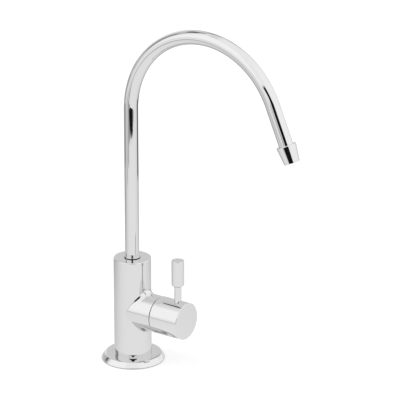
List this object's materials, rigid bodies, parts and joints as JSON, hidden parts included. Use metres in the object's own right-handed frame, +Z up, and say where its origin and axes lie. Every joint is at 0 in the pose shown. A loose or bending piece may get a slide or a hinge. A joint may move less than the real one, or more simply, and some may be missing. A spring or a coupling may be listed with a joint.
{
  "type": "drinking water filter tap",
  "caption": "Deck-mounted drinking water tap with a swivelling gooseneck spout, a side quarter-turn lever valve, a bevelled base flange and a threaded shank.",
  "frame": {"origin": "on the body's axis at the worktop's surface, which is the underside of the base flange and its gasket", "axes": "+Z up along the body's axis; +X along the valve axis towards the handle, with the spout also reaching along +X at rest"},
  "size_m": [0.1621, 0.0454, 0.3162],
  "materials": {
    "chrome": "polished chrome plate on brass",
    "brass": "turned brass",
    "rubber": "moulded black rubber",
    "fibre": "red sealing fibre, matte",
    "ceramic": "lapped alumina",
    "black_nylon": "moulded black nylon",
    "white_nylon": "moulded white nylon",
    "acetal": "moulded grey acetal",
    "steel": "zinc plated steel"
  },
  "bodies": {
    "tap": {"body": "chrome", "base_flange": "chrome", "flange_gasket": "rubber", "shank": "brass", "shank_seal": "rubber", "deck_washer": "black_nylon", "lock_washer": "steel", "mounting_nut": "brass", "inlet_nut": "brass", "inlet_ferrule": "white_nylon", "cartridge_body": "brass", "cartridge_gasket": "fibre", "seat_seal": "rubber", "fixed_disc": "ceramic"},
    "handle": {"handle_cap": "chrome", "lever": "chrome", "grub_screw": "steel", "stem": "brass", "stem_clip": "steel", "stem_o_rings": "rubber", "thrust_washer": "white_nylon", "moving_disc": "ceramic"},
    "spout": {"spout_tube": "chrome", "spout_spigot": "chrome", "spigot_o_rings": "rubber", "spout_clip": "white_nylon", "bearing_washer": "black_nylon", "nozzle": "chrome", "flow_straightener": "acetal"}
  },
  "joints": [
    {"name": "handle_turn", "type": "hinge", "parent": "tap", "child": "handle", "pos_m": [0.03, 0, 0.0388], "axis": [1, 0, 0], "range_deg": [0, 90]},
    {"name": "spout_swivel", "type": "hinge", "parent": "tap", "child": "spout", "pos_m": [0, 0, 0.07], "axis": [0, 0, 1], "continuous": true}
  ]
}
